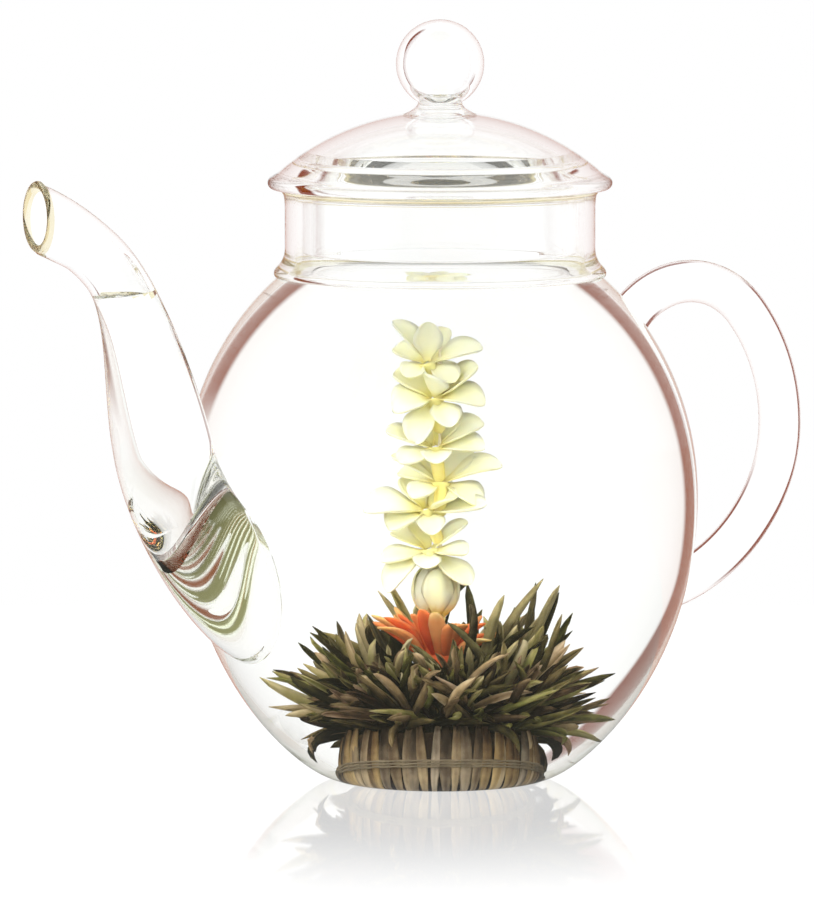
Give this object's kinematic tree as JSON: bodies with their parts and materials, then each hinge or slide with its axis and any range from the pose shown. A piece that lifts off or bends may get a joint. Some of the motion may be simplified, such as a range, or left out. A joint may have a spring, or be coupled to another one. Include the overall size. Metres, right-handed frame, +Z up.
{
  "type": "glass teapot",
  "caption": "Clear glass teapot with a curved spout, rod handle and lift-off domed lid with a ball knob, holding an opened flowering tea of leaves and a jasmine garland.",
  "frame": {"origin": "centre of the pot's flat foot, on the axis of the globe, neck and lid", "axes": "+Z up along the pot's axis, -X towards the spout, +X towards the handle"},
  "size_m": [0.1774, 0.1032, 0.1523],
  "materials": {
    "clear_glass": "clear, polished",
    "stem_brown": "soaked tea stems, ribbed",
    "thread": "cotton thread",
    "thread_brown": "cotton thread, stained by the tea",
    "leaf_dark": "soaked tea leaf, satin",
    "leaf_light": "soaked tea leaf, satin",
    "petal_orange": "soft petals",
    "petal_cream": "soft, slightly clear petals"
  },
  "bodies": {
    "pot": {"pot_globe": "clear_glass", "neck_collar": "clear_glass", "spout": "clear_glass", "handle": "clear_glass"},
    "lid": {"lid_dome": "clear_glass", "lid_collar": "clear_glass", "knob_neck": "clear_glass", "knob_ball": "clear_glass"},
    "flowering_tea": {"bundle_base": "stem_brown", "binding_thread": "thread_brown", "leaf_crown_outer": "leaf_dark", "leaf_crown_middle": "leaf_dark", "leaf_crown_inner": "leaf_light", "flower_petals": "petal_orange", "flower_heart": "petal_orange", "garland_thread": "thread", "jasmine_1": "petal_cream", "jasmine_2": "petal_cream", "jasmine_3": "petal_cream", "jasmine_4": "petal_cream", "jasmine_5": "petal_cream", "jasmine_6": "petal_cream", "jasmine_7": "petal_cream"}
  },
  "joints": [
    {"name": "lid_lift", "type": "slide", "parent": "pot", "child": "lid", "axis": [0, 0, 1], "range_m": [0, 0.06]},
    {"name": "bloom_lift", "type": "slide", "parent": "pot", "child": "flowering_tea", "axis": [0, 0, 1], "range_m": [0, 0.035]}
  ]
}
